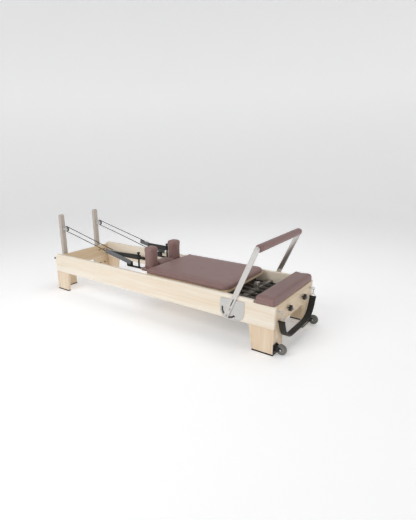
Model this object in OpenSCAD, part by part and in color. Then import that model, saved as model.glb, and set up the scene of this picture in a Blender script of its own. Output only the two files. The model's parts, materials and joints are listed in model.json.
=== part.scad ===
// Pilates reformer: a wooden frame on four legs, a rolling padded carriage on springs,
// a swinging footbar, and two rope lines that run over pulleys on riser posts.
// +X runs to the foot end, -Y is the near side, +Z is up, and the floor is z = 0.

/* [Frame] */
// Length of the side rails
frame_length = 2400; // [2100:50:2700]
// Width over the outer faces of the side rails
frame_width = 700; // [640:10:800]
// Height of the rail tops above the floor
rail_top = 372; // [360:2:460]
// Height of a side rail board
rail_height = 180; // [165:5:200]
// Thickness of a side rail board
rail_thick = 28; // [22:1:34]
// Radius of the rails' head-end top corners
rail_corner = 40; // [10:5:60]
// Thickness of the head and foot boards
end_thick = 25; // [20:1:30]
// Drop of the head board's top edge below the rail tops
head_board_drop = 26; // [10:2:40]
// Half width of the arch in the head board
head_arch_half = 135; // [100:5:180]
// Half width of the arch in the foot board
foot_arch_half = 195; // [120:5:210]
// Height of both arches above the floor
arch_height = 208; // [120:4:220]
// Radius of the arch corners
arch_corner = 45; // [10:5:60]
// Length of a leg where it meets the rail
leg_top_length = 190; // [150:5:230]
// Length of a leg at its foot
leg_bottom_length = 160; // [120:5:190]
// Thickness of the rubber foot pads
foot_pad_thick = 10; // [5:1:15]

/* [Foot platform] */
// Length of the standing platform
platform_length = 158; // [130:2:170]
// Drop of the rails under the platform pad
platform_drop = 18; // [12:1:26]
// Thickness of the platform pad
platform_pad_thick = 56; // [30:1:64]
// Thickness of the platform board
platform_board = 18; // [12:1:24]
// Distance of a star knob from the middle plane
star_knob_offset = 132; // [120:2:160]
// Depth of the star knobs below the rail tops
star_knob_drop = 88; // [72:2:122]

/* [Carriage] */
// Length of the carriage pad
pad_length = 808; // [720:2:816]
// Gap between the carriage pad's edge and the inner face of a rail
pad_side_gap = 10; // [6:1:50]
// Thickness of the carriage pad
pad_thick = 42; // [34:1:56]
// Radius of the pad's foot-end corners in plan
pad_corner = 70; // [30:5:90]
// Radius of the pad's head-end corners in plan
pad_head_corner = 18; // [5:1:40]
// Height of the pad's base over the rail tops, below zero where it sits between the rails
pad_base_lift = -2; // [-6:1:8]
// Gap between the parked carriage pad and the platform pad
spring_well = 230; // [200:1:260]
// Thickness of the carriage's plywood deck
deck_thick = 22; // [15:1:25]
// Length of the headrest cushion
headrest_length = 112; // [100:2:140]
// Width of the headrest cushion
headrest_width = 200; // [160:5:204]

/* [Shoulder blocks] */
// Size of a shoulder block along the frame
shoulder_length = 89; // [70:1:95]
// Size of a shoulder block across the frame
shoulder_width = 97; // [75:1:105]
// Height of a shoulder block
shoulder_height = 192; // [150:2:230]
// Clear space between the shoulder blocks
shoulder_gap = 216; // [210:2:250]

/* [Carriage wheels] */
// Radius of a load wheel
wheel_radius = 22; // [18:1:26]
// Width of a load wheel
wheel_width = 20; // [16:1:22]
// Radius of a guide roller
roller_radius = 15; // [12:1:18]
// Distance between the two wheel axles
wheel_base = 600; // [450:10:650]

/* [Springs] */
// Number of springs
spring_count = 5; // [3:1:5]
// Outer radius of a spring
spring_radius = 11; // [8:1:14]
// Distance between neighbouring springs
spring_pitch = 80; // [60:2:84]
// Length of a spring's coil
spring_length = 600; // [500:10:640]
// Depth of the spring axes below the rail tops
spring_drop = 46; // [42:1:50]

/* [Footbar] */
// Distance from the pivot to the bar's axis
bar_reach = 512; // [430:4:540]
// Lean of the parked arms from the vertical, towards the foot
bar_lean = 23.5; // [5:0.5:40]
// Width of a flat arm
arm_width = 38; // [34:1:56]
// Thickness of a flat arm
arm_thick = 6; // [4:0.5:9]
// Length of the arm below the pivot
arm_tail = 74; // [68:1:80]
// Distance from the foot end to the pivot
pivot_setback = 343; // [320:1:400]
// Depth of the pivot below the rail tops
pivot_drop = 110; // [102:1:116]
// Radius of the padded grip
grip_radius = 28; // [22:1:34]
// Radius of the steel cross tube
tube_radius = 16; // [12:0.5:20]
// Radius of the pivot pins
pivot_radius = 8; // [6:0.5:10]
// Thickness of a quadrant plate
plate_thick = 4; // [3:0.5:6]

/* [Risers and ropes] */
// Height of the riser posts' tops above the floor
post_top = 752; // [690:2:850]
// Post size along the frame
post_depth = 40; // [30:1:46]
// Post size across the frame
post_width = 46; // [36:1:50]
// Radius of the rope
rope_radius = 3.5; // [2.5:0.1:4]
// Outer radius of a sheave
sheave_radius = 27; // [26:0.5:29]

/* [Transport wheels] */
// Radius of a transport wheel
caster_radius = 38; // [30:1:38]
// Width of a transport wheel
caster_width = 24; // [18:1:28]
// Gap between a transport wheel and the floor
caster_lift = 6; // [3:1:10]

/* [Foot strap] */
// Distance of a strap eye from the middle plane
strap_eye_offset = 290; // [270:2:300]
// Depth of the strap eyes below the rail tops
strap_eye_drop = 64; // [52:1:82]
// Width of the strap
strap_width = 52; // [40:1:56]
// Drop of the strap below its eyes
strap_drop = 218; // [180:2:224]

/* [Fits] */
// Radial clearance of a shaft in its bore
running_fit = 0.05; // [0.02:0.01:0.1]
// Gap between a wheel and the face that it rolls on
roll_gap = 0.3; // [0.2:0.05:0.5]

/* [Hidden] */
$fn = 48;

wood = "#EBDDC6";
cut_wood = "#D9BE98";
padding = "#8A6A68";
steel = "#D2D2D0";
black = "#1E1E1E";
grey = "#7C7C7A";
rubber = "#2A2A28";

half_length = frame_length / 2;
half_width = frame_width / 2;
inner_half = half_width - rail_thick;
rail_bottom = rail_top - rail_height;
board_top = rail_top - head_board_drop;
head_inner = -half_length + end_thick;
foot_inner = half_length - end_thick;
platform_start = half_length - platform_length;
platform_z = rail_top - platform_drop;
star_knob_height = rail_top - star_knob_drop;

// Tracks and the wheels that stand on them
track_width = 25;
track_depth = 25;
wheel_side_gap = 2;
track_drop = 97;
track_top = rail_top - track_drop;
track_end_gap = 5;
axle_z = track_top + wheel_radius;
pin_radius = 5;
roller_pin_radius = 4;

// Carriage, parked at the foot end
pad_foot = platform_start - spring_well;
pad_head = pad_foot - pad_length;
pad_z = rail_top + pad_base_lift;
pad_top = pad_z + pad_thick;
pad_half = inner_half - pad_side_gap;
seam_gap = 4;
headrest_foot = pad_head - seam_gap;
headrest_head = headrest_foot - headrest_length;
deck_z = pad_z - deck_thick;
deck_side_gap = 32;
deck_half = inner_half - deck_side_gap;
deck_foot = pad_foot - 15;
block_y = shoulder_gap / 2;
deck_head = headrest_head - 16;
neck_half = block_y + shoulder_width + 10;
wheel_mid = (pad_head + pad_foot) / 2;
head_axle_x = wheel_mid - wheel_base / 2;
foot_axle_x = wheel_mid + wheel_base / 2;
bracket_y = inner_half - wheel_side_gap - wheel_width - 6;
head_roller_x = head_axle_x + 90;
foot_roller_x = foot_axle_x - 90;
roller_y = inner_half - roll_gap - roller_radius;
roller_height = 18;
roller_low = deck_z - 10 - roller_height;

// Shoulder blocks
block_foot = pad_head - 15;
block_head = block_foot - shoulder_length;
peg_radius = 8;
peg_depth = deck_thick - 6;
block_peg_inset = 24;
block_x = (block_head + block_foot) / 2;
block_round = 14;

// Springs
spring_height = rail_top - spring_drop;
spring_bar_x = platform_start - 32;
spring_bar_thick = 24;
tray_length = 440;
tray_thick = 4;
spring_hook = 18;
spring_hook_radius = 3;
anchor_foot = spring_bar_x - 2 * spring_hook - spring_length;
anchor_thick = 24;
spring_start = -spring_pitch / 2 - spring_pitch * (spring_count - 1) / 2;

// Footbar
pivot_x = half_length - pivot_setback;
pivot_height = rail_top - pivot_drop;
plate_y = half_width;
arm_gap = 2;
arm_y = half_width + plate_thick + arm_gap;
arm_corner = 14;
slot_half = 4;
slot_low = 38;
slot_high = 92;
latch_reach = 57;
latch_radius = 5;
latch_play = 1.5;
tube_wall = 2.5;
plate_left = 77;
plate_right = 119;
plate_low = 73;
plate_high = 81;
plate_round = 62;
plate_corner = 12;
plate_length = plate_left + plate_right;
scallop = 4;
bar_x = pivot_x + bar_reach * sin(bar_lean);
bar_z = pivot_height + bar_reach * cos(bar_lean);

// Risers
socket_plate = 4;
post_x = -half_length - socket_plate;
strap_steel = 5;
knob_stem = 10;
knob_thick = 21;
pulley_x = -half_length + 50;
pulley_height = 610;
wrap_radius = sheave_radius - 1;
groove = rope_radius + 2;
sheave_half = 8;
cheek = sheave_half + 1;
cheek_thick = 3;
fork_half = 9;
sheave_pin = 4;

// Rope lines, and the pegs, cleats and hooks that ride on the carriage
rope_line = 217;
cleat_x = deck_head - 172;
cleat_length = 45;
cleat_z = deck_z + 18;
arm_under = 8;
peg_x = deck_head - 44;
peg_line = 195;

// Hand loop and foot loop of a strap; the outline's points are taken from the deck's edge and the cleat
loop_head_x = deck_head - 290;
loop_low = cleat_z + 72;
loop_width = 34;
loop_thick = 3;
foot_loop_outline = [
    [-432, 82], [-428, 126], [-292, 96], [-172, 66], [-107, 58], [-107, 18], [-172, 24], [-302, 54]
];

// Snap hook
hook_height = cleat_z + 116;
hook_head_x = deck_head - 352;
hook_neck_x = hook_head_x + 14;
hook_foot_x = hook_neck_x + 42;

// Route of a rope line at y > 0: cleat, under and round the sheave, and back to the hook
rope_sag = 6;
lower_end = [cleat_x - 2, rope_line - 11, cleat_z + 18];
upper_end = [hook_head_x - 2, rope_line, hook_height + 2];
wrap_points = [for (a = [254:-29.5:77])
    [pulley_x + wrap_radius * cos(a), rope_line, pulley_height + wrap_radius * sin(a)]];
lower_run = [for (n = [0:6]) let (t = n / 7)
    lower_end + t * (wrap_points[0] - lower_end) + [0, 0, 4 * rope_sag * t * (1 - t)]];
upper_run = [for (n = [1:6]) let (t = n / 6, start = wrap_points[6]) start + t * (upper_end - start)];
rope_route = concat(lower_run, wrap_points, upper_run);

// Knobs
star_stem = 12;
star_thick = 22;
riser_knob_height = 290;

// Foot strap
strap_eye_height = rail_top - strap_eye_drop;
strap_x = half_length + 28;
strap_thick = 5;
strap_link = 72;
link_half = 8;
link_plate = 4;
strap_steps = 24;

// Transport wheels
caster_x = half_length + caster_radius + 4;
caster_height = caster_radius + caster_lift;
caster_y = 303;

// ---- shared shapes ----

module mirrored() {
    children();
    mirror([0, 1, 0]) children();
}

// A block given by its low and high corners
module block(low, high) {
    translate(low) cube(high - low);
}

// A cylinder along Y from y0 to y1
module rod_y(x, z, y0, y1, r) {
    translate([x, y0, z]) rotate([-90, 0, 0]) cylinder(r = r, h = y1 - y0);
}

// A cylinder along X from x0 to x1
module rod_x(y, z, x0, x1, r) {
    translate([x0, y, z]) rotate([0, 90, 0]) cylinder(r = r, h = x1 - x0);
}

// A plate drawn in the XZ plane, from y0 to y1
module plate_xz(y0, y1) {
    translate([0, y1, 0]) rotate([90, 0, 0]) linear_extrude(height = y1 - y0) children();
}

// A rounded rectangle in plan, from the low to the high corner
module rounded_plan(low, high, r) {
    translate([low[0] + r, low[1]]) square([high[0] - low[0] - 2 * r, high[1] - low[1]]);
    translate([low[0], low[1] + r]) square([high[0] - low[0], high[1] - low[1] - 2 * r]);
    for (x = [low[0] + r, high[0] - r], y = [low[1] + r, high[1] - r]) translate([x, y]) circle(r);
}

// A three-lobed hand knob along X, with its stem starting at x0
module lobed_knob(y, z, x0, stem, thick) {
    rod_x(y, z, x0, x0 + stem, 5);
    rod_x(y, z, x0 + stem, x0 + stem + thick, 13);
    for (a = [90, 210, 330]) rod_x(y + 15 * cos(a), z + 15 * sin(a), x0 + stem, x0 + stem + thick, 9);
}

// ---- frame ----

module side_rail() {
    r = rail_corner;
    plate_xz(inner_half, half_width) union() {
        translate([-half_length + r, rail_bottom]) square([frame_length - r - platform_length, rail_height]);
        translate([-half_length, rail_bottom]) square([r, rail_height - r]);
        translate([-half_length + r, rail_top - r]) circle(r);
        translate([platform_start, rail_bottom]) square([platform_length, rail_height - platform_drop]);
    }
}

module near_side_rail() { color(wood) mirror([0, 1, 0]) side_rail(); }

module far_side_rail() { color(wood) side_rail(); }

// An arch cut: the opening under an end board
module arch(half) {
    translate([-half, -1]) square([2 * half, arch_height - arch_corner + 1]);
    translate([-half + arch_corner, -1]) square([2 * (half - arch_corner), arch_height + 1]);
    for (s = [-1, 1]) translate([s * (half - arch_corner), arch_height - arch_corner]) circle(arch_corner);
}

// An end board in the YZ plane that stands on the foot pads
module end_board(x0, top, half) {
    translate([x0, 0, 0]) rotate([90, 0, 90]) linear_extrude(height = end_thick) difference() {
        translate([-inner_half, foot_pad_thick]) square([2 * inner_half, top - foot_pad_thick]);
        arch(half);
    }
}

module head_board() { color(cut_wood) end_board(-half_length, board_top, head_arch_half); }

module foot_board() { color(cut_wood) end_board(foot_inner, platform_z, foot_arch_half); }

// A tapered leg below the side rail, flush with its outer face
module leg() {
    plate_xz(inner_half, half_width) polygon([
        [-half_length, foot_pad_thick], [-half_length + leg_bottom_length, foot_pad_thick],
        [-half_length + leg_top_length, rail_bottom], [-half_length, rail_bottom]
    ]);
}

module legs() {
    color(wood) mirrored() {
        leg();
        mirror([1, 0, 0]) leg();
    }
}

// An L of rubber under a leg and the end board's leg beside it
module foot_pad(half) {
    block([-half_length, inner_half, 0], [-half_length + leg_bottom_length, half_width, foot_pad_thick]);
    block([-half_length, half, 0], [-half_length + end_thick, inner_half, foot_pad_thick]);
}

module foot_pads() {
    color(rubber) mirrored() {
        foot_pad(head_arch_half);
        mirror([1, 0, 0]) foot_pad(foot_arch_half);
    }
}

module track() {
    block(
        [head_inner + track_end_gap, inner_half - track_width, track_top - track_depth],
        [platform_start - track_end_gap, inner_half, track_top]
    );
}

module tracks() { color(black) mirrored() track(); }

// A beam that ties the two rails under the middle of the frame
module cross_rail() {
    color(cut_wood) block([-30, -inner_half, rail_bottom + 4], [30, inner_half, track_top - track_depth - 6]);
}

module foot_platform() {
    color(cut_wood) block(
        [platform_start, -inner_half, platform_z - platform_board],
        [foot_inner, inner_half, platform_z]
    );
}

module foot_platform_pad() {
    color(padding) translate([0, 0, platform_z]) linear_extrude(height = platform_pad_thick)
        rounded_plan([platform_start, -half_width], [half_length, half_width], 10);
}

// The bar that holds the springs' foot ends, and the tray that lies between the tracks under them
module spring_bar() {
    tray_half = inner_half - track_width;
    color(black) block(
        [platform_start - tray_length, -tray_half, track_top - track_depth],
        [platform_start - track_end_gap, tray_half, track_top - track_depth + tray_thick]
    );
    color(steel) difference() {
        block(
            [spring_bar_x, -inner_half, spring_height - 16],
            [spring_bar_x + spring_bar_thick, inner_half, spring_height + 10]
        );
        for (n = [0:spring_count - 1])
            rod_x(spring_start + n * spring_pitch, spring_height, spring_bar_x - 1, spring_bar_x + 12, 4);
    }
}

// A cross bar with the block that the parked carriage comes up to
module carriage_stop() {
    stop_y = spring_start + (spring_count - 1.5) * spring_pitch;
    color(steel) {
        block([pad_foot + 18, -inner_half, track_top + 3], [pad_foot + 58, inner_half, track_top + 25]);
        block([pad_foot + 20, stop_y - 18, track_top + 25], [pad_foot + 56, stop_y + 18, spring_height + 20]);
    }
}

// Four bolt heads inside each side of the head board, and a short peg outside each rail's head end
module head_fittings() {
    peg_height = rail_top - 54;
    color(black) mirrored() {
        for (y = [205, 268], z = [146, 298]) rod_x(y, z, head_inner, head_inner + 5, 7);
        rod_x(half_width - rail_thick / 2, peg_height, -half_length - 24, -half_length, 5);
        rod_x(half_width - rail_thick / 2, peg_height, -half_length - 34, -half_length - 24, 9);
    }
}

// ---- footbar mount ----

// The plate with the scalloped slot that the latch pin runs in
module quadrant_plate() {
    slot = latch_radius + latch_play;
    plate_xz(plate_y, plate_y + plate_thick) translate([pivot_x, pivot_height]) difference() {
        union() {
            translate([-plate_left, -plate_low + plate_round])
                square([plate_length, plate_low + plate_high - plate_round - plate_corner]);
            translate([-plate_left + plate_corner, 0]) square([plate_length - 2 * plate_corner, plate_high]);
            translate([-plate_left + plate_round, -plate_low])
                square([plate_length - 2 * plate_round, plate_low]);
            for (x = [-plate_left + plate_round, plate_right - plate_round])
                translate([x, -plate_low + plate_round]) circle(plate_round);
            for (x = [-plate_left + plate_corner, plate_right - plate_corner])
                translate([x, plate_high - plate_corner]) circle(plate_corner);
        }
        difference() {
            circle(latch_reach + slot);
            circle(latch_reach - slot);
            polygon([[0, 0], [-150, 40], [-150, 200], [200, 200], [200, -90], [120, -105]]);
        }
        for (a = [172:20:312]) rotate(a) translate([latch_reach + slot, 0]) circle(scallop);
    }
}

module near_quadrant_plate() { color(steel) mirror([0, 1, 0]) quadrant_plate(); }

module far_quadrant_plate() { color(steel) quadrant_plate(); }

module quadrant_screws() {
    color(grey) mirrored() for (p = [[82, 38], [82, 10], [-52, 62], [82, -14]])
        rod_y(pivot_x + p[0], pivot_height + p[1], plate_y + plate_thick, plate_y + plate_thick + 1.5, 4);
}

// Pins that carry the arms, with heads outside them
module pivot_pins() {
    color(steel) mirrored() {
        rod_y(pivot_x, pivot_height, plate_y + plate_thick, arm_y + arm_thick + 0.5, pivot_radius);
        rod_y(pivot_x, pivot_height, arm_y + arm_thick + 0.5, arm_y + arm_thick + 5, pivot_radius + 4);
    }
}

// ---- risers ----

// A back plate and two steel straps that hold a post against the head board's outside
module riser_socket() {
    low = rope_line - post_width / 2;
    high = rope_line + post_width / 2;
    back = post_x - post_depth;
    block([post_x, low - 10, 130], [-half_length, high + 40, board_top - 20]);
    for (z = [150, 270]) {
        block([back - strap_steel, low - strap_steel, z], [back, high + strap_steel, z + 40]);
        block([back, low - strap_steel, z], [post_x, low, z + 40]);
        block([back, high, z], [post_x, high + strap_steel, z + 40]);
    }
}

module riser_sockets() { color(black) mirrored() riser_socket(); }

// A post with a rounded top
module riser_post() {
    r = post_depth / 2;
    top = [post_x - r, post_top - r];
    plate_xz(rope_line - post_width / 2, rope_line + post_width / 2) union() {
        translate([post_x - post_depth, 130]) square([post_depth, post_top - r - 130]);
        translate(top) circle(r);
    }
}

module near_riser_post() { color("#A89E94") mirror([0, 1, 0]) riser_post(); }

module far_riser_post() { color("#A89E94") riser_post(); }

// Cheeks on either side of the sheave, joined by a block at the post, and the axle
module pulley_block() {
    for (y = [rope_line - cheek - cheek_thick, rope_line + cheek]) plate_xz(y, y + cheek_thick) union() {
        translate([pulley_x, pulley_height]) circle(sheave_radius - 4);
        translate([-half_length + 1, pulley_height - fork_half]) square([50, 2 * fork_half]);
    }
    block(
        [-half_length, rope_line - cheek - cheek_thick, pulley_height - fork_half],
        [-half_length + 12, rope_line + cheek + cheek_thick, pulley_height + fork_half]
    );
    block([post_x, rope_line - 14, pulley_height - 20], [-half_length, rope_line + 14, pulley_height + 20]);
    rod_y(pulley_x, pulley_height, rope_line - cheek, rope_line + cheek, sheave_pin);
}

module pulley_blocks() { color(steel) mirrored() pulley_block(); }

// ---- foot end ----

// An eye bolt: shank and ring
module strap_eye() {
    rod_x(strap_eye_offset, strap_eye_height, half_length, half_length + 19, 4);
    rod_x(strap_eye_offset, strap_eye_height, half_length, half_length + 3, 11);
    translate([strap_x, strap_eye_offset, strap_eye_height]) rotate([90, 0, 0])
        rotate_extrude() translate([10, 0]) circle(2.5);
}

module strap_eyes() { color(steel) mirrored() strap_eye(); }

// A bracket plate with two ears and the axle between them
module caster_bracket() {
    half = caster_width / 2 + 1;
    block([half_length, caster_y - half - 3, 18], [half_length + 3, half_width, 84]);
    for (s = [-1, 1]) plate_xz(caster_y + s * (half + 1.5) - 1.5, caster_y + s * (half + 1.5) + 1.5) hull() {
        translate([caster_x, caster_height]) circle(9, $fn = 24);
        translate([half_length + 3, 24]) square([1, 52]);
    }
    rod_y(caster_x, caster_height, caster_y - half, caster_y + half, pin_radius);
    for (z = [36, 57]) rod_x(half_width - 9, z, half_length + 3, half_length + 5, 4);
}

module caster_brackets() { color(black) mirrored() caster_bracket(); }

module caster() {
    color(grey) difference() {
        rod_y(
            caster_x, caster_height, caster_y - caster_width / 2, caster_y + caster_width / 2,
            caster_radius
        );
        rod_y(
            caster_x, caster_height, caster_y - caster_width, caster_y + caster_width,
            pin_radius + running_fit
        );
    }
}

module near_caster() { mirror([0, 1, 0]) caster(); }

module far_caster() { caster(); }

// Height of the strap's centre line at a share s of its half width
function strap_rise(s) = strap_eye_height - strap_drop + (strap_drop - strap_link) * pow(abs(s), 6);

function strap_side(k) = [for (n = [-strap_steps:strap_steps]) let (s = n / strap_steps)
    [
        s * (strap_eye_offset - (abs(s) > 0.99 ? 0 : k * pow(abs(s), 6))),
        strap_rise(s) + k * (1 - pow(abs(s), 6))
    ]];

// How far a point of the strap's edge moves outwards as the strap turns upright
function strap_flare(y) = sign(y) * strap_thick * pow(abs(y) / strap_eye_offset, 6);

// A padded band that hangs in a U from two links, each with a pin through its eye
module foot_strap() {
    inner = strap_side(strap_thick);
    outer = strap_side(-strap_thick);
    color(black) {
        translate([strap_x - strap_width / 2, 0, 0]) rotate([90, 0, 90]) linear_extrude(height = strap_width)
            polygon(concat(
                [for (p = inner) [p[0] - strap_flare(p[0]), p[1]]],
                [for (n = [len(outer) - 1:-1:0]) let (p = outer[n]) [p[0] + strap_flare(p[0]), p[1]]]
            ));
        mirrored() {
            block(
                [strap_x - link_half, strap_eye_offset - link_half, strap_eye_height - strap_link],
                [strap_x + link_half, strap_eye_offset + link_half, strap_eye_height - strap_link + 12]
            );
            for (s = [-1, 1]) block(
                [strap_x - 5, strap_eye_offset + s * 6 - link_plate / 2, strap_eye_height - strap_link + 11],
                [strap_x + 5, strap_eye_offset + s * 6 + link_plate / 2, strap_eye_height + 5]
            );
            rod_y(strap_x, strap_eye_height, strap_eye_offset - 7, strap_eye_offset + 7, 4);
        }
    }
}

module star_knob(side) {
    color(black) lobed_knob(side * star_knob_offset, star_knob_height, half_length, star_stem, star_thick);
}

module near_star_knob() { star_knob(-1); }

module far_star_knob() { star_knob(1); }

// The knob that clamps a post in its socket
module riser_knob(side) {
    back = -post_x + post_depth + strap_steel;
    color(black) mirror([1, 0, 0]) lobed_knob(side * rope_line, riser_knob_height, back, knob_stem, knob_thick);
}

module near_riser_knob() { riser_knob(-1); }

module far_riser_knob() { riser_knob(1); }

// ---- ropes, hooks and loops ----

// Unit vector along v
function unit(v) = v / norm(v);

// Direction of a route at its point n
function tube_dir(p, n) = unit(p[min(n + 1, len(p) - 1)] - p[max(n - 1, 0)]);

// Points and faces of a closed tube of radius r with eight sides along a route
function tube_points(p, r) = [for (n = [0:len(p) - 1]) let (
    d = tube_dir(p, n),
    side = unit(cross(d, [0, 1, 0])),
    up = cross(side, d)
) for (k = [0:7]) p[n] + r * (cos(45 * k) * side + sin(45 * k) * up)];

function tube_faces(n) = concat(
    [[for (k = [0:7]) k]],
    [for (i = [0:n - 2], k = [0:7]) let (m = (k + 1) % 8)
        [8 * i + k, 8 * (i + 1) + k, 8 * (i + 1) + m, 8 * i + m]],
    [[for (k = [7:-1:0]) 8 * (n - 1) + k]]
);

module rope() {
    polyhedron(tube_points(rope_route, rope_radius), tube_faces(len(rope_route)), convexity = 6);
}

module near_rope() { color(black) mirror([0, 1, 0]) rope(); }

module far_rope() { color(black) rope(); }

module sheave() {
    difference() {
        rod_y(pulley_x, pulley_height, rope_line - sheave_half, rope_line + sheave_half, sheave_radius);
        translate([pulley_x, rope_line, pulley_height]) rotate([90, 0, 0]) rotate_extrude()
            translate([wrap_radius, 0]) circle(groove);
        rod_y(pulley_x, pulley_height, rope_line - cheek, rope_line + cheek, sheave_pin + running_fit);
    }
}

module near_sheave() { color(grey) mirror([0, 1, 0]) sheave(); }

module far_sheave() { color(grey) sheave(); }

// A snap hook at the rope's loose end
module snap_hook() {
    color(grey) {
        rod_x(rope_line, hook_height, hook_head_x, hook_neck_x, 6);
        block([hook_neck_x, rope_line - 3, hook_height - 8], [hook_foot_x, rope_line + 3, hook_height + 6]);
    }
}

module near_snap_hook() { mirror([0, 1, 0]) snap_hook(); }

module far_snap_hook() { snap_hook(); }

// The hand loop's plan, grown by the webbing's thickness
module hand_loop_plan(grow) {
    hull() {
        translate([peg_x, peg_line]) circle(peg_radius + 11 + grow, $fn = 32);
        translate([loop_head_x, rope_line - 3]) circle(3 + grow, $fn = 32);
    }
}

// A hand loop round the strap peg, and the wide foot loop sewn to it
module double_loop() {
    color(black) translate([0, 0, loop_low]) linear_extrude(height = loop_width) difference() {
        hand_loop_plan(loop_thick);
        hand_loop_plan(0);
    }
    color(grey) translate([deck_head, 0, cleat_z]) plate_xz(rope_line + 14, rope_line + 20)
        polygon(foot_loop_outline);
}

module near_double_loop() { mirror([0, 1, 0]) double_loop(); }

module far_double_loop() { double_loop(); }

module strap_peg() {
    translate([peg_x, peg_line, cleat_z]) cylinder(r = peg_radius, h = 120);
    translate([peg_x, peg_line, cleat_z + 120]) cylinder(r = 13, h = 14);
}

module strap_pegs() { color(black) mirrored() strap_peg(); }

// An arm ahead of the deck with a cleat that holds the rope's fixed end
module rope_cleat() {
    block([cleat_x, peg_line - 10, cleat_z - arm_under], [deck_head, peg_line + 22, cleat_z]);
    block([cleat_x, peg_line - 8, cleat_z], [cleat_x + cleat_length, peg_line + 26, cleat_z + 36]);
}

module rope_cleats() { color(black) mirrored() rope_cleat(); }

// ---- springs ----

// A coil stand-in with a hook at each end
module spring_body(y) {
    coil_head = anchor_foot + spring_hook;
    coil_foot = spring_bar_x - spring_hook;
    rod_x(y, spring_height, coil_head, coil_foot, spring_radius);
    rod_x(y, spring_height, anchor_foot, coil_head, spring_hook_radius);
    rod_x(y, spring_height, coil_foot, spring_bar_x + 10, spring_hook_radius);
}

module springs() { color(grey) for (n = [0:spring_count - 1]) spring_body(spring_start + n * spring_pitch); }

// ---- footbar ----

// Places its children in the arm's own frame: origin on the pivot, +Z along the arm
module along_arm() {
    translate([pivot_x, 0, pivot_height]) rotate([0, bar_lean, 0]) children();
}

module footbar_arm() {
    along_arm() plate_xz(arm_y, arm_y + arm_thick) difference() {
        union() {
            translate([-arm_width / 2, -arm_tail + arm_corner])
                square([arm_width, arm_tail - arm_corner + bar_reach]);
            translate([-arm_width / 2 + arm_corner, -arm_tail])
                square([arm_width - 2 * arm_corner, arm_corner]);
            for (s = [-1, 1]) translate([s * (arm_width / 2 - arm_corner), -arm_tail + arm_corner])
                circle(arm_corner);
            translate([0, bar_reach]) circle(arm_width / 2);
        }
        circle(pivot_radius + running_fit);
        translate([-slot_half, slot_low]) square([2 * slot_half, slot_high - slot_low]);
        for (z = [slot_low, slot_high]) translate([0, z]) circle(slot_half);
    }
}

module near_footbar_arm() { color(steel) mirror([0, 1, 0]) footbar_arm(); }

module far_footbar_arm() { color(steel) footbar_arm(); }

module footbar_tube() {
    color(steel) difference() {
        rod_y(bar_x, bar_z, -arm_y, arm_y, tube_radius);
        rod_y(bar_x, bar_z, -arm_y - 1, arm_y + 1, tube_radius - tube_wall);
    }
}

module footbar_grip() {
    grip_half = inner_half + 18;
    color(padding) difference() {
        rod_y(bar_x, bar_z, -grip_half, grip_half, grip_radius);
        rod_y(bar_x, bar_z, -grip_half - 1, grip_half + 1, tube_radius);
    }
}

module footbar_bolts() {
    color(grey) mirrored() rod_y(bar_x, bar_z, arm_y + arm_thick, arm_y + arm_thick + 5, 9);
}

// A plunger on each arm's tail: its pin runs in the quadrant slot
module latch_pins() {
    color(grey) mirrored() along_arm() {
        rod_y(0, -latch_reach, plate_y + 0.5, arm_y, latch_radius);
        rod_y(0, -latch_reach, arm_y + arm_thick, arm_y + arm_thick + 8, 8);
    }
}

// ---- carriage ----

// A board that narrows ahead of the pad, with holes for the shoulder blocks' pegs
module carriage_deck() {
    color(cut_wood) difference() {
        union() {
            block([pad_head, -deck_half, deck_z], [deck_foot, deck_half, pad_z]);
            block([deck_head, -neck_half, deck_z], [pad_head, neck_half, pad_z]);
        }
        mirrored() shoulder_pegs(peg_radius + running_fit, peg_depth + 1);
    }
}

// A block's two pegs, from peg_depth under the deck's top and of the height given
module shoulder_pegs(r, height) {
    for (y = [block_y + block_peg_inset, block_y + shoulder_width - block_peg_inset])
        translate([block_x, y, pad_z - peg_depth]) cylinder(r = r, h = height);
}

module carriage_pad() {
    join_x = (pad_head + pad_foot) / 2;
    color(padding) translate([0, 0, pad_z]) linear_extrude(height = pad_thick) union() {
        rounded_plan([pad_head, -pad_half], [join_x + pad_corner, pad_half], pad_head_corner);
        rounded_plan([join_x - pad_corner, -pad_half], [pad_foot, pad_half], pad_corner);
    }
}

module headrest() {
    color(padding) block(
        [headrest_head, -headrest_width / 2, pad_z],
        [headrest_foot, headrest_width / 2, pad_top]
    );
}

module shoulder_block() {
    color(padding) {
        translate([0, 0, pad_z]) linear_extrude(height = shoulder_height)
            rounded_plan([block_head, block_y], [block_foot, block_y + shoulder_width], block_round);
        shoulder_pegs(peg_radius, peg_depth);
    }
}

module near_shoulder_block() { mirror([0, 1, 0]) shoulder_block(); }

module far_shoulder_block() { shoulder_block(); }

// Hangers with the axle stubs of the load wheels and the pins of the guide rollers
module wheel_brackets() {
    color(grey) mirrored() {
        for (x = [head_axle_x, foot_axle_x]) {
            block([x - 18, bracket_y - 4, axle_z - 12], [x + 18, bracket_y, deck_z]);
            block([x - 18, bracket_y - 30, deck_z - 4], [x + 18, bracket_y - 4, deck_z]);
            rod_y(x, axle_z, bracket_y, inner_half - wheel_side_gap, pin_radius);
        }
        for (x = [head_roller_x, foot_roller_x]) {
            block([x - 18, bracket_y - 20, deck_z - 8], [x + 18, roller_y + 8, deck_z]);
            translate([x, roller_y, roller_low - 2]) cylinder(r = roller_pin_radius, h = roller_height + 4);
            translate([x, roller_y, roller_low - 5]) cylinder(r = 7, h = 3);
        }
    }
}

module load_wheels(x) {
    color(grey) mirrored() difference() {
        rod_y(x, axle_z, bracket_y + 3, bracket_y + 3 + wheel_width, wheel_radius - roll_gap);
        rod_y(x, axle_z, bracket_y + 2, bracket_y + 4 + wheel_width, pin_radius + running_fit);
    }
}

module head_load_wheels() { load_wheels(head_axle_x); }

module foot_load_wheels() { load_wheels(foot_axle_x); }

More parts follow.
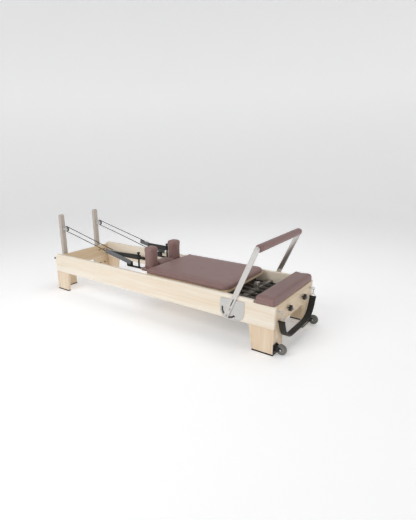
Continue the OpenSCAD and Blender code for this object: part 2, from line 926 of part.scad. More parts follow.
module guide_roller(x) {
    color(grey) difference() {
        translate([x, roller_y, roller_low]) cylinder(r = roller_radius, h = roller_height);
        translate([x, roller_y, roller_low - 1])
            cylinder(r = roller_pin_radius + running_fit, h = roller_height + 2);
    }
}

module near_head_roller() { mirror([0, 1, 0]) guide_roller(head_roller_x); }

module far_head_roller() { guide_roller(head_roller_x); }

module near_foot_roller() { mirror([0, 1, 0]) guide_roller(foot_roller_x); }

module far_foot_roller() { guide_roller(foot_roller_x); }

// The bar under the deck that the springs hook on
module spring_anchor() {
    anchor_half = deck_half - 40;
    color(steel) block(
        [anchor_foot - anchor_thick, -anchor_half, spring_height - 14],
        [anchor_foot, anchor_half, deck_z]
    );
}

near_side_rail();
far_side_rail();
head_board();
foot_board();
legs();
foot_pads();
tracks();
cross_rail();
foot_platform();
foot_platform_pad();
spring_bar();
carriage_stop();
head_fittings();
near_quadrant_plate();
far_quadrant_plate();
quadrant_screws();
pivot_pins();
riser_sockets();
near_riser_post();
far_riser_post();
pulley_blocks();
strap_eyes();
caster_brackets();
near_rope();
far_rope();
springs();
near_footbar_arm();
far_footbar_arm();
footbar_tube();
footbar_grip();
footbar_bolts();
latch_pins();
carriage_deck();
carriage_pad();
wheel_brackets();
spring_anchor();
strap_pegs();
rope_cleats();
headrest();
near_shoulder_block();
far_shoulder_block();
head_load_wheels();
foot_load_wheels();
near_head_roller();
far_head_roller();
near_foot_roller();
far_foot_roller();
near_double_loop();
far_double_loop();
near_snap_hook();
far_snap_hook();
foot_strap();
near_riser_knob();
far_riser_knob();
near_star_knob();
far_star_knob();
near_caster();
far_caster();
near_sheave();
far_sheave();
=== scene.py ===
import json
import math

import bmesh
import bpy
import numpy as np
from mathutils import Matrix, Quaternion, Vector
from mathutils.bvhtree import BVHTree


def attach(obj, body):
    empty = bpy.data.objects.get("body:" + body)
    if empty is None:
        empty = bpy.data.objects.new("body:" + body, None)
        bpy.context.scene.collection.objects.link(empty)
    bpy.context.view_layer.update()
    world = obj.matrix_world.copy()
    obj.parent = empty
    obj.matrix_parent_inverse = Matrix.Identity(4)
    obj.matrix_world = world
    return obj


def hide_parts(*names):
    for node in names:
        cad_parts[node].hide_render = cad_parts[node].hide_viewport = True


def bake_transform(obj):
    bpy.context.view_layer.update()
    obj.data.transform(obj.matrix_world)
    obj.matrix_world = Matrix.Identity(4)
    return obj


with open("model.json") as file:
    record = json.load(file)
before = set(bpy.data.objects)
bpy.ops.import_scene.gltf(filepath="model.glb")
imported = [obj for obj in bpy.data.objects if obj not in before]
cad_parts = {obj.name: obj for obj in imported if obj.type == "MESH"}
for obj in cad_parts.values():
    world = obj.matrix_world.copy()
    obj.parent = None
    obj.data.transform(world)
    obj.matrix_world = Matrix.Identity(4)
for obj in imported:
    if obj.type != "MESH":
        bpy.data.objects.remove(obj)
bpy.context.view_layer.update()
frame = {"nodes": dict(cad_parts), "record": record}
scene = bpy.context.scene
scene.view_settings.view_transform = "Standard"

# Camera and studio. The reformer stands on a pale seamless sheet, seen from above its
# near foot corner. A large soft light hangs on the near side, and a weaker one overhead.
FOCAL_MM = 26.95
camera_data = bpy.data.cameras.new("camera")
camera_data.lens = FOCAL_MM
camera_data.sensor_width = 36.0
camera_data.shift_x = 0.0491
camera_data.shift_y = 0.0067
camera = bpy.data.objects.new("camera", camera_data)
scene.collection.objects.link(camera)
scene.camera = camera
camera.location = (2.1815, -2.5803, 1.3552)
YAW, PITCH, ROLL = math.radians(37.99), math.radians(16.18), math.radians(-1.07)
camera.rotation_mode = "QUATERNION"
level = math.cos(PITCH)
forward = Vector((-math.sin(YAW) * level, math.cos(YAW) * level, -math.sin(PITCH)))
camera.rotation_quaternion = forward.to_track_quat("-Z", "Y") @ Quaternion((0, 0, 1), ROLL)


def srgb(code):
    """A hex colour as the linear colour that a shader takes."""
    parts = [int(code[i : i + 2], 16) / 255 for i in (1, 3, 5)]
    return (*[p / 12.92 if p <= 0.04045 else ((p + 0.055) / 1.055) ** 2.4 for p in parts], 1)


def add_node(tree, kind, sockets=None, **settings):
    """Adds a shader node, with its settings, and a value or a link for each socket named."""
    node = tree.nodes.new("ShaderNode" + kind)
    for key, value in settings.items():
        setattr(node, key, value)
    for key, value in (sockets or {}).items():
        if isinstance(value, bpy.types.NodeSocket):
            tree.links.new(value, node.inputs[key])
        else:
            node.inputs[key].default_value = value
    return node


def start_finish(name, **sockets):
    """A new material with its surface shader. Socket names are given with _ for a space."""
    material = bpy.data.materials.new(name)
    material.use_nodes = True
    tree = material.node_tree
    tree.nodes.clear()
    values = {key.replace("_", " "): value for key, value in sockets.items()}
    surface = add_node(tree, "BsdfPrincipled", values)
    add_node(tree, "OutputMaterial", {"Surface": surface.outputs[0]})
    return material, tree, surface


def solid(name, points, faces, material, smooth_below=35.0):
    """A mesh object in the row frame, shaded smooth except at its sharp edges."""
    mesh = bpy.data.meshes.new(name)
    mesh.from_pydata([tuple(p) for p in points], [], faces)
    mesh.update()
    work = bmesh.new()
    work.from_mesh(mesh)
    bmesh.ops.recalc_face_normals(work, faces=work.faces)
    work.to_mesh(mesh)
    work.free()
    mesh.materials.append(material)
    mesh.shade_smooth()
    mesh.set_sharp_from_angle(angle=math.radians(smooth_below))
    piece = bpy.data.objects.new(name, mesh)
    scene.collection.objects.link(piece)
    return piece


def turned(name, profile, centre, along, material, steps=48):
    """A piece turned on a lathe: (distance along the axis, radius) pairs round the axis along."""
    axis = Vector(along).normalized()
    side = axis.orthogonal().normalized()
    up = axis.cross(side)
    points, faces, rings = [], [], []
    for distance, radius in profile:
        start = len(points)
        count = 1 if radius < 1e-7 else steps
        for k in range(count):
            turn = 2 * math.pi * k / steps
            out = side * math.cos(turn) + up * math.sin(turn)
            points.append(Vector(centre) + axis * distance + out * radius)
        rings.append([start + k % count for k in range(steps)])
    for low, high in zip(rings, rings[1:]):
        for k in range(steps):
            face = [low[k], low[(k + 1) % steps], high[(k + 1) % steps], high[k]]
            face = list(dict.fromkeys(face))
            if len(face) > 2:
                faces.append(face)
    return solid(name, points, faces, material)


paper, tree, surface = start_finish(
    "pale seamless paper",
    Base_Color=srgb("#FCFCFC"),
    Roughness=0.9,
    Emission_Color=srgb("#FFFFFF"),
    Emission_Strength=0.25,
)
FLOOR_RADIUS, WALL_ROUND, WALL_HEIGHT = 7.0, 3.0, 6.0
rim = [(0.0, 0.0), (0.0, FLOOR_RADIUS)]
for step in range(1, 13):
    turn = math.radians(90 * step / 12)
    rim.append((WALL_ROUND * (1 - math.cos(turn)), FLOOR_RADIUS + WALL_ROUND * math.sin(turn)))
rim.append((WALL_HEIGHT, FLOOR_RADIUS + WALL_ROUND))
floor = turned("paper_sweep", rim, (0, 0, 0), (0, 0, 1), paper, steps=96)

world = bpy.data.worlds.new("studio")
scene.world = world
world.use_nodes = True
world.node_tree.nodes.clear()
sky = add_node(world.node_tree, "Background", {"Color": srgb("#FAFBFF"), "Strength": 0.2})
add_node(world.node_tree, "OutputWorld", {"Surface": sky.outputs[0]})


def soft_light(name, place, target, size, watts):
    """A square soft box that points at target."""
    lamp = bpy.data.lights.new(name, "AREA")
    lamp.size, lamp.energy = size, watts
    holder = bpy.data.objects.new(name, lamp)
    scene.collection.objects.link(holder)
    holder.location = place
    holder.rotation_mode = "QUATERNION"
    holder.rotation_quaternion = (Vector(target) - Vector(place)).to_track_quat("-Z", "Y")


soft_light("near_soft_box", (-0.8, -4.2, 3.6), (0, 0, 0.3), 2.6, 96)
soft_light("overhead_soft_box", (0.4, 1.2, 4.2), (0, 0, 0.3), 3.0, 50)
soft_light("foot_soft_box", (4.6, -0.6, 2.4), (0.6, 0, 0.3), 2.0, 12)

# Rails, legs and end boards. The real ones are glued maple boards with eased edges,
# sanded and lacquered. The rails' fibres run along them and the legs' fibres upright.


def eased(name, node, width, material, body, sharp=30.0, rounds=2):
    """The CAD node's shape with its edges rounded, which stands for that node."""
    mesh = frame["nodes"][node].data.copy()
    mesh.name = name
    piece = bpy.data.objects.new(name, mesh)
    scene.collection.objects.link(piece)
    work = bmesh.new()
    work.from_mesh(mesh)
    bmesh.ops.remove_doubles(work, verts=work.verts, dist=2e-6)
    bmesh.ops.dissolve_limit(work, angle_limit=math.radians(0.6), verts=work.verts, edges=work.edges)
    work.to_mesh(mesh)
    work.free()
    bevel = piece.modifiers.new("edge", "BEVEL")
    bevel.width, bevel.segments = width, rounds
    bevel.limit_method, bevel.angle_limit = "ANGLE", math.radians(sharp)
    ready = piece.evaluated_get(bpy.context.evaluated_depsgraph_get())
    shaped = bpy.data.meshes.new_from_object(ready)
    piece.modifiers.clear()
    piece.data = shaped
    shaped.name = name
    shaped.materials.clear()
    shaped.materials.append(material)
    for polygon in shaped.polygons:
        polygon.material_index = 0
    shaped.shade_smooth()
    shaped.set_sharp_from_angle(angle=math.radians(32))
    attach(piece, body)
    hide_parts(node)
    return piece


def maple(name, pale, deep, grain):
    """Lacquered maple. It gives a cream surface with fine darker streaks along the fibres."""
    material, tree, surface = start_finish(
        name, Roughness=0.38, Coat_Weight=0.18, Coat_Roughness=0.22
    )
    place = add_node(tree, "TexCoord").outputs["Object"]
    fibre, board = [150.0] * 3, [11.0] * 3
    fibre["XYZ".index(grain)] = 3.5
    board["XYZ".index(grain)] = 0.9
    streaks = add_node(tree, "Mapping", {"Vector": place, "Scale": fibre}).outputs[0]
    bands = add_node(tree, "Mapping", {"Vector": place, "Scale": board}).outputs[0]
    fine = add_node(tree, "TexNoise", {"Vector": streaks, "Scale": 1.0, "Detail": 5.0, "Distortion": 0.3})
    broad = add_node(tree, "TexNoise", {"Vector": bands, "Scale": 1.0, "Detail": 3.0, "Distortion": 0.8})
    both = add_node(tree, "Math", {0: fine.outputs[0], 1: broad.outputs[0]}, operation="ADD")
    share = add_node(tree, "MapRange", {"Value": both.outputs[0], "From Min": 0.75, "From Max": 1.3})
    tone = add_node(tree, "Mix", {0: share.outputs[0], 6: srgb(pale), 7: srgb(deep)}, data_type="RGBA")
    tree.links.new(tone.outputs[2], surface.inputs["Base Color"])
    relief = add_node(tree, "Bump", {"Height": fine.outputs[0], "Strength": 0.12, "Distance": 0.0004})
    tree.links.new(relief.outputs[0], surface.inputs["Normal"])
    return material


rail_maple = maple("lacquered maple along the rail", "#F6EDDE", "#EBDAC1", "X")
# Painted shade: the legs take a darker copy of the rails' maple, and the boards a darker one still, for faces
# that stand in shade. It is one maple under any lamp.
shaded_leg_maple = maple("lacquered maple upright, painted shade", "#EEDCC5", "#DDC2A0", "Z")
shaded_board_maple = maple("lacquered maple across the frame, painted deeper shade", "#E9D5B9", "#D3B791", "Y")
WOOD_ROUND = 0.0025
for node in ("near_side_rail", "far_side_rail"):
    eased(node + "_wood", node, WOOD_ROUND, rail_maple, "frame")
eased("leg_wood", "legs", WOOD_ROUND, shaded_leg_maple, "frame")
for node in ("head_board", "foot_board", "cross_rail", "foot_platform"):
    eased(node + "_wood", node, WOOD_ROUND, shaded_board_maple, "frame")

# Foot pads. Each leg stands on a glued sheet of black rubber, cut to the leg.
rubber, tree, surface = start_finish("cut black rubber", Base_Color=srgb("#1B1B1B"), Roughness=0.8)
place = add_node(tree, "TexCoord").outputs["Object"]
pores = add_node(tree, "TexNoise", {"Vector": place, "Scale": 900.0, "Detail": 2.0})
relief = add_node(tree, "Bump", {"Height": pores.outputs[0], "Strength": 0.3, "Distance": 0.0003})
tree.links.new(relief.outputs[0], surface.inputs["Normal"])


def dress(material, *nodes):
    """Gives CAD nodes that keep their shape their finish."""
    for name in nodes:
        node = frame["nodes"][name]
        if not node.material_slots:
            node.data.materials.append(material)
        for place_in_list in node.material_slots:
            place_in_list.material = material


dress(rubber, "foot_pads")

# Tracks. Black anodised aluminium bars screwed inside the rails, drawn lengthwise.
anodised, tree, surface = start_finish("black anodised aluminium", Metallic=0.6)
place = add_node(tree, "TexCoord").outputs["Object"]
drawn = add_node(tree, "Mapping", {"Vector": place, "Scale": (6.0, 900.0, 900.0)}).outputs[0]
lines = add_node(tree, "TexNoise", {"Vector": drawn, "Scale": 1.0, "Detail": 3.0})
tone = add_node(
    tree, "Mix", {0: lines.outputs[0], 6: srgb("#141516"), 7: srgb("#2C2D2F")}, data_type="RGBA"
)
tree.links.new(tone.outputs[2], surface.inputs["Base Color"])
rough = add_node(tree, "MapRange", {"Value": lines.outputs[0], "To Min": 0.28, "To Max": 0.5})
tree.links.new(rough.outputs[0], surface.inputs["Roughness"])
dress(anodised, "tracks")

# Powder-coated steel. Sockets, brackets and pegs are bent or welded steel
# with a fine black texture coat, which gives a soft broken highlight.
powder, tree, surface = start_finish("black powder coat", Roughness=0.5)
place = add_node(tree, "TexCoord").outputs["Object"]
orange_peel = add_node(tree, "TexNoise", {"Vector": place, "Scale": 650.0, "Detail": 3.0})
tone = add_node(
    tree, "Mix", {0: orange_peel.outputs[0], 6: srgb("#121212"), 7: srgb("#242424")}, data_type="RGBA"
)
tree.links.new(tone.outputs[2], surface.inputs["Base Color"])
relief = add_node(tree, "Bump", {"Height": orange_peel.outputs[0], "Strength": 0.35, "Distance": 0.0004})
tree.links.new(relief.outputs[0], surface.inputs["Normal"])
METAL_ROUND = 0.0007
bodies = frame["record"]["behaviour"]["bodies"]
body_of_node = {node: body for body, members in bodies.items() for node in members}
for node in ("riser_sockets", "caster_brackets", "wheel_brackets", "rope_cleats", "strap_pegs"):
    eased(node + "_coated", node, METAL_ROUND, powder, body_of_node[node])
dress(powder, "head_fittings")

# Riser posts. Flat hardwood posts with rounded tops, sprayed with a taupe lacquer.
taupe, tree, surface = start_finish(
    "taupe lacquer", Roughness=0.42, Coat_Weight=0.15, Coat_Roughness=0.25
)
place = add_node(tree, "TexCoord").outputs["Object"]
upright = add_node(tree, "Mapping", {"Vector": place, "Scale": (140.0, 140.0, 5.0)}).outputs[0]
veins = add_node(tree, "TexNoise", {"Vector": upright, "Scale": 1.0, "Detail": 4.0})
tone = add_node(tree, "Mix", {0: veins.outputs[0], 6: srgb("#C9BFB5"), 7: srgb("#B0A498")}, data_type="RGBA")
tree.links.new(tone.outputs[2], surface.inputs["Base Color"])
relief = add_node(tree, "Bump", {"Height": veins.outputs[0], "Strength": 0.1, "Distance": 0.0003})
tree.links.new(relief.outputs[0], surface.inputs["Normal"])
POST_ROUND = 0.003
for node in ("near_riser_post", "far_riser_post"):
    eased(node + "_wood", node, POST_ROUND, taupe, "frame")

# Hand knobs. Three-lobed knobs moulded in black phenolic on a steel stud. Two clamp the
# risers at the head, and two lock the spring bar at the foot.
phenolic, tree, surface = start_finish("black moulded phenolic", Roughness=0.3, Coat_Weight=0.2)
place = add_node(tree, "TexCoord").outputs["Object"]
flow = add_node(tree, "TexNoise", {"Vector": place, "Scale": 120.0, "Detail": 3.0})
tone = add_node(tree, "Mix", {0: flow.outputs[0], 6: srgb("#0F0F10"), 7: srgb("#202022")}, data_type="RGBA")
tree.links.new(tone.outputs[2], surface.inputs["Base Color"])
KNOB_ROUND = 0.0018
for node in ("near_riser_knob", "far_riser_knob", "near_star_knob", "far_star_knob"):
    knob = eased(node + "_moulded", node, KNOB_ROUND, phenolic, body_of_node[node], rounds=3)

# Brushed stainless steel. Footbar arms, quadrant plates, bars, bolts and eyes. The
# brushing runs along each part and spreads the highlight across it.


def brushed(name, along, pale="#DAD8D5", deep="#B9B7B4"):
    """Stainless steel brushed along a direction."""
    material, tree, surface = start_finish(name, Metallic=1.0, Anisotropic=0.4)
    place = add_node(tree, "TexCoord").outputs["Object"]
    across = [1400.0] * 3
    across["XYZ".index(along)] = 25.0
    strokes = add_node(tree, "Mapping", {"Vector": place, "Scale": across}).outputs[0]
    hairs = add_node(tree, "TexNoise", {"Vector": strokes, "Scale": 1.0, "Detail": 4.0})
    tone = add_node(tree, "Mix", {0: hairs.outputs[0], 6: srgb(pale), 7: srgb(deep)}, data_type="RGBA")
    tree.links.new(tone.outputs[2], surface.inputs["Base Color"])
    rough = add_node(tree, "MapRange", {"Value": hairs.outputs[0], "To Min": 0.2, "To Max": 0.42})
    tree.links.new(rough.outputs[0], surface.inputs["Roughness"])
    relief = add_node(tree, "Bump", {"Height": hairs.outputs[0], "Strength": 0.08, "Distance": 0.0002})
    tree.links.new(relief.outputs[0], surface.inputs["Normal"])
    return material


steel_x = brushed("stainless steel brushed lengthwise", "X")
steel_y = brushed("stainless steel brushed crosswise", "Y")
steel_z = brushed("stainless steel brushed upright", "Z")
# Painted reflection: the footbar arms take a copy of the brushed steel painted paler than the other steel
# parts, for their brighter reflection.
lit_steel_arm = brushed("pale stainless steel brushed upright", "Z", "#DEDBD8", "#C2BFBB")
for node in ("near_quadrant_plate", "far_quadrant_plate"):
    eased(node + "_steel", node, METAL_ROUND, steel_x, "frame")
for node in ("near_footbar_arm", "far_footbar_arm"):
    eased(node + "_steel", node, METAL_ROUND, lit_steel_arm, "footbar")
for node in ("carriage_stop", "spring_anchor", "strap_eyes", "pulley_blocks"):
    eased(node + "_steel", node, METAL_ROUND, steel_y, body_of_node[node])
dress(steel_y, "footbar_tube", "footbar_bolts", "latch_pins", "quadrant_screws", "pivot_pins")

# Slot shade. A thin black strip lies behind each quadrant's slot, where the latch pin runs,
# and a black strip fills the slot in each arm: both are painted shade, dark as the slots' shadow.


def sweep(name, path, section, across, material, closed=False):
    """A bar of one section carried along a path, with across the section's first direction.
    Its map holds metres along the path and metres round the section."""
    path = [Vector(p) for p in path]
    last, sides = len(path) - 1, len(section)
    points, faces, along = [], [], [0.0]
    for k, point in enumerate(path):
        before = path[k - 1] if k or closed else point
        after = path[(k + 1) % len(path)] if k < last or closed else point
        run = (after - before).normalized()
        reference = Vector(across[k]) if isinstance(across, list) else Vector(across)
        side = (reference - run * run.dot(reference)).normalized()
        up = run.cross(side)
        points += [point + side * u + up * v for u, v in section]
        along.append(along[-1] + (path[(k + 1) % len(path)] - point).length)
    turn = [0.0]
    for (u0, v0), (u1, v1) in zip(section, section[1:] + section[:1]):
        turn.append(turn[-1] + math.hypot(u1 - u0, v1 - v0))
    spans = last + 1 if closed else last
    corners = []
    for k in range(spans):
        for j in range(sides):
            n, m = (j + 1) % sides, (k + 1) % len(path)
            faces.append((k * sides + j, k * sides + n, m * sides + n, m * sides + j))
            corners.append(((k, j), (k, j + 1), (k + 1, j + 1), (k + 1, j)))
    if not closed:
        faces.append(tuple(reversed(range(sides))))
        faces.append(tuple(range(last * sides, (last + 1) * sides)))
    mesh = bpy.data.meshes.new(name)
    mesh.from_pydata([tuple(p) for p in points], [], faces)
    chart = mesh.uv_layers.new(name="length_and_turn")
    for face, held in zip(mesh.polygons, corners):
        for loop, (k, j) in zip(face.loop_indices, held):
            chart.data[loop].uv = (along[k], turn[j])
    mesh.materials.append(material)
    mesh.shade_smooth()
    mesh.set_sharp_from_angle(angle=math.radians(40))
    piece = bpy.data.objects.new(name, mesh)
    scene.collection.objects.link(piece)
    return piece


def flat_bar(width, thick):
    """A square-edged flat section for sweep. The first direction is its thickness."""
    half, edge = width / 2, thick / 2
    return [(-edge, -half), (edge, -half), (edge, half), (-edge, half)]


SIDES = {"near": -1, "far": 1}
QUADRANT_SHADE_R, QUADRANT_SHADE_WIDTH, QUADRANT_SHADE_THICK, QUADRANT_SHADE_Y = 0.059, 0.0175, 0.0004, 0.35025
QUADRANT_SHADE_START, QUADRANT_SHADE_SWEEP, QUADRANT_SHADE_STEPS, PIVOT_X, PIVOT_Z = 167, 150, 20, 0.857, 0.262
ARM_SLOT_SHADE_WIDTH, ARM_SLOT_SHADE_THICK = 0.0076, 0.004
ARM_Y, ARM_LEAN, ARM_SLOT_LOW, ARM_SLOT_HIGH = 0.359, math.radians(23.5), 0.0345, 0.0955
for side, sign in SIDES.items():
    arc = []
    for step in range(QUADRANT_SHADE_STEPS + 1):
        turn = math.radians(QUADRANT_SHADE_START + QUADRANT_SHADE_SWEEP * step / QUADRANT_SHADE_STEPS)
        x, z = PIVOT_X + QUADRANT_SHADE_R * math.cos(turn), PIVOT_Z + QUADRANT_SHADE_R * math.sin(turn)
        arc.append((x, sign * QUADRANT_SHADE_Y, z))
    strip = flat_bar(QUADRANT_SHADE_WIDTH, QUADRANT_SHADE_THICK)
    quadrant_slot_shade = sweep(side + "_quadrant_slot_shade_strip", arc, strip, (0, 1, 0), phenolic)
    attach(quadrant_slot_shade, "frame")
    along = [
        (PIVOT_X + reach * math.sin(ARM_LEAN), sign * ARM_Y, PIVOT_Z + reach * math.cos(ARM_LEAN))
        for reach in (ARM_SLOT_LOW, ARM_SLOT_HIGH)
    ]
    strip = flat_bar(ARM_SLOT_SHADE_WIDTH, ARM_SLOT_SHADE_THICK)
    pad = sweep(side + "_arm_slot_shade_strip", along, strip, (0, 1, 0), phenolic)
    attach(pad, "footbar")

# Spring bar and shade panel. A steel bar holds the springs' foot ends, and a dark grey panel with
# pale aluminium ribs lies between the tracks under the springs: painted shade under the carriage.
SHADE_PANEL_X0, SHADE_PANEL_X1, SHADE_PANEL_HALF, SHADE_PANEL_LOW, SHADE_PANEL_TOP = 0.602, 1.037, 0.297, 0.250, 0.254
RIB_PITCH, RIBS_EACH_SIDE, RIB_BACK = 0.027, 10, 0.004
RIB_FOOT, RIB_CREST, RIB_HEIGHT = 0.0055, 0.0035, 0.0035
bar = eased("spring_bar_steel", "spring_bar", METAL_ROUND, steel_y, "frame")
work = bmesh.new()
work.from_mesh(bar.data)
below = [face for face in work.faces if face.calc_center_median().z < SHADE_PANEL_TOP + 0.001]
bmesh.ops.delete(work, geom=below, context="FACES")
work.to_mesh(bar.data)
work.free()
# Painted shade: the panel's dark grey stands for the shade that the carriage casts on the floor between the
# tracks.
shade_panel_grey, tree, surface = start_finish("dark grey painted shade panel", Roughness=0.55)
place = add_node(tree, "TexCoord").outputs["Object"]
orange_peel = add_node(tree, "TexNoise", {"Vector": place, "Scale": 650.0, "Detail": 3.0})
tone = add_node(
    tree, "Mix", {0: orange_peel.outputs[0], 6: srgb("#3E3B36"), 7: srgb("#4E4A44")}, data_type="RGBA"
)
tree.links.new(tone.outputs[2], surface.inputs["Base Color"])
anodised_ribs, tree, surface = start_finish("natural anodised aluminium", Metallic=0.5, Roughness=0.5)
place = add_node(tree, "TexCoord").outputs["Object"]
drawn = add_node(tree, "Mapping", {"Vector": place, "Scale": (6.0, 900.0, 900.0)}).outputs[0]
lines = add_node(tree, "TexNoise", {"Vector": drawn, "Scale": 1.0, "Detail": 3.0})
tone = add_node(
    tree, "Mix", {0: lines.outputs[0], 6: srgb("#837D70"), 7: srgb("#6A655B")}, data_type="RGBA"
)
tree.links.new(tone.outputs[2], surface.inputs["Base Color"])
shade_panel = sweep(
    "spring_shade_panel",
    [(SHADE_PANEL_X0, 0, SHADE_PANEL_LOW), (SHADE_PANEL_X1, 0, SHADE_PANEL_LOW)],
    [(-SHADE_PANEL_HALF, 0), (SHADE_PANEL_HALF, 0), (SHADE_PANEL_HALF, SHADE_PANEL_TOP - SHADE_PANEL_LOW), (-SHADE_PANEL_HALF, SHADE_PANEL_TOP - SHADE_PANEL_LOW)],
    (0, 1, 0),
    shade_panel_grey,
)
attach(shade_panel, "frame")
for number in range(-RIBS_EACH_SIDE, RIBS_EACH_SIDE + 1):
    y = number * RIB_PITCH
    rib = sweep(
        f"spring_tray_rib_{number + RIBS_EACH_SIDE + 1}",
        [(SHADE_PANEL_X0 + RIB_BACK, y, SHADE_PANEL_TOP), (SHADE_PANEL_X1 - RIB_BACK, y, SHADE_PANEL_TOP)],
        [(-RIB_FOOT, 0), (RIB_FOOT, 0), (RIB_CREST, RIB_HEIGHT), (-RIB_CREST, RIB_HEIGHT)],
        (0, 1, 0),
        anodised_ribs,
    )
    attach(rib, "frame")

# Sheaves. Moulded nylon pulley wheels with a round groove and a pressed bearing.
nylon, tree, surface = start_finish("smoke grey moulded nylon", Roughness=0.42)
place = add_node(tree, "TexCoord").outputs["Object"]
mottle = add_node(tree, "TexNoise", {"Vector": place, "Scale": 300.0, "Detail": 3.0})
tone = add_node(tree, "Mix", {0: mottle.outputs[0], 6: srgb("#5A5A58"), 7: srgb("#74736F")}, data_type="RGBA")
tree.links.new(tone.outputs[2], surface.inputs["Base Color"])
SHEAVE_X, SHEAVE_Y, SHEAVE_Z = -1.150, 0.217, 0.610
SHEAVE_R, SHEAVE_HALF, GROOVE_R, HUB_R = 0.027, 0.0078, 0.0222, 0.009
groove = [(-SHEAVE_HALF, HUB_R), (-SHEAVE_HALF, SHEAVE_R - 0.0006), (-SHEAVE_HALF + 0.0012, SHEAVE_R)]
for step in range(-4, 5):
    turn = math.radians(step * 22.5)
    depth = (SHEAVE_R - GROOVE_R) * math.cos(turn)
    groove.append(((SHEAVE_HALF - 0.0022) * math.sin(turn), SHEAVE_R - depth))
groove += [(SHEAVE_HALF - 0.0012, SHEAVE_R), (SHEAVE_HALF, SHEAVE_R - 0.0006), (SHEAVE_HALF, HUB_R)]
bearing = [(-0.0068, 0.0), (-0.0068, HUB_R), (0.0068, HUB_R), (0.0068, 0.0)]
for side, sign in SIDES.items():
    centre = (SHEAVE_X, sign * SHEAVE_Y, SHEAVE_Z)
    wheel = turned(side + "_sheave_wheel", groove, centre, (0, 1, 0), nylon)
    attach(wheel, side + "_sheave")
    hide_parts(side + "_sheave")
    race = turned(side + "_sheave_bearing", bearing, centre, (0, 1, 0), steel_y, steps=32)
    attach(race, side + "_sheave")

# Casters. A polyurethane tyre on a dished moulded hub, turning on a shouldered bolt
# between the cheeks of a coated bracket. The bolt's bright head and nut show outside.
tyre_grey, tree, surface = start_finish("smoke grey polyurethane", Roughness=0.35, Coat_Weight=0.1)
place = add_node(tree, "TexCoord").outputs["Object"]
mottle = add_node(tree, "TexNoise", {"Vector": place, "Scale": 180.0, "Detail": 3.0})
tone = add_node(tree, "Mix", {0: mottle.outputs[0], 6: srgb("#5F5E58"), 7: srgb("#75746E")}, data_type="RGBA")
tree.links.new(tone.outputs[2], surface.inputs["Base Color"])
hub_grey, tree, surface = start_finish("grey moulded polypropylene", Roughness=0.4)
place = add_node(tree, "TexCoord").outputs["Object"]
mottle = add_node(tree, "TexNoise", {"Vector": place, "Scale": 250.0, "Detail": 3.0})
tone = add_node(tree, "Mix", {0: mottle.outputs[0], 6: srgb("#8B8A84"), 7: srgb("#7C7B76")}, data_type="RGBA")
tree.links.new(tone.outputs[2], surface.inputs["Base Color"])


def tyre_profile(half, inner, outer, shoulder):
    """Half a tyre's section on each side of its middle, with rounded shoulders."""
    profile = [(-half, inner)]
    for step in range(7):
        turn = math.radians(15 * step)
        height = outer - shoulder + shoulder * math.sin(turn)
        profile.append((-half + shoulder * (1 - math.cos(turn)), height))
    return profile + [(-distance, radius) for distance, radius in reversed(profile)]


CASTER_X, CASTER_Y, CASTER_Z, CASTER_R, CASTER_HALF = 1.242, 0.303, 0.044, 0.038, 0.012
TYRE_INNER_R, TYRE_SHOULDER, CHEEK_FACE = 0.024, 0.006, 0.0159
hub = [(-0.0118, 0.0), (-0.0118, 0.006), (-0.0085, 0.0075)]
hub += [(-0.0085, 0.019), (-0.0110, 0.0205), (-0.0110, 0.0245)]
hub += [(-distance, radius) for distance, radius in reversed(hub)]
for side, sign in SIDES.items():
    centre = (CASTER_X, sign * CASTER_Y, CASTER_Z)
    profile = tyre_profile(CASTER_HALF, TYRE_INNER_R, CASTER_R, TYRE_SHOULDER)
    tyre = turned(side + "_caster_tyre", profile, centre, (0, 1, 0), tyre_grey)
    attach(tyre, side + "_caster")
    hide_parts(side + "_caster")
    core = turned(side + "_caster_hub", hub, centre, (0, 1, 0), hub_grey)
    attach(core, side + "_caster")
    for end in (-1, 1):
        bolt = turned(
            f"{side}_caster_bolt_{'inner' if end < 0 else 'outer'}",
            [(0.0, 0.0068), (0.0022, 0.0068), (0.0034, 0.0056), (0.0034, 0.0)],
            (CASTER_X, sign * CASTER_Y + end * CHEEK_FACE, CASTER_Z),
            (0, end, 0),
            steel_y,
            steps=24,
        )
        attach(bolt, "frame")

# Carriage deck. Birch ply cut to shape, its face lacquered like the boards. The wheels
# and the rope fittings are bolted under and behind it.
# The deck takes the boards' darker copy of the maple: painted shade.
deck = eased("carriage_deck_ply", "carriage_deck", 0.0015, shaded_board_maple, "carriage")

# Load wheels and guide rollers. Turned polyurethane wheels on sealed bearings: the load
# wheels run on the tracks and the guide rollers along the rails' inner faces.
LOAD_R, LOAD_Y0, LOAD_Y1, LOAD_Z, LOAD_SHOULDER = 0.0215, 0.2975, 0.3165, 0.297, 0.0035
for name, x in (("head", 0.108), ("foot", 0.708)):
    for side, sign in SIDES.items():
        centre = (x, sign * (LOAD_Y0 + LOAD_Y1) / 2, LOAD_Z)
        half = (LOAD_Y1 - LOAD_Y0) / 2
        profile = tyre_profile(half, 0.0, LOAD_R, LOAD_SHOULDER)
        tyre = turned(f"{side}_{name}_load_tyre", profile, centre, (0, 1, 0), tyre_grey)
        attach(tyre, name + "_load_wheels")
        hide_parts(name + "_load_wheels")
ROLLER_R, ROLLER_HALF, ROLLER_SHOULDER, ROLLER_Y, ROLLER_Z = 0.0148, 0.0088, 0.002, 0.3067, 0.329
for name, x in (("head", 0.198), ("foot", 0.618)):
    for side, sign in SIDES.items():
        body = f"{side}_{name}_roller"
        centre = (x, sign * ROLLER_Y, ROLLER_Z)
        profile = tyre_profile(ROLLER_HALF, 0.0, ROLLER_R, ROLLER_SHOULDER)
        tyre = turned(body + "_tyre", profile, centre, (0, 0, 1), nylon)
        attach(tyre, body)
        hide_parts(body)

# Upholstery. Dense foam under mauve-brown vinyl, stretched over a ply base and stapled
# below, with one sewn welt round the side. Air behind the vinyl lets its faces crown.
vinyl, tree, surface = start_finish(
    "mauve brown upholstery vinyl", Roughness=0.5, Sheen_Weight=0.12, Sheen_Roughness=0.4
)
place = add_node(tree, "TexCoord").outputs["Object"]
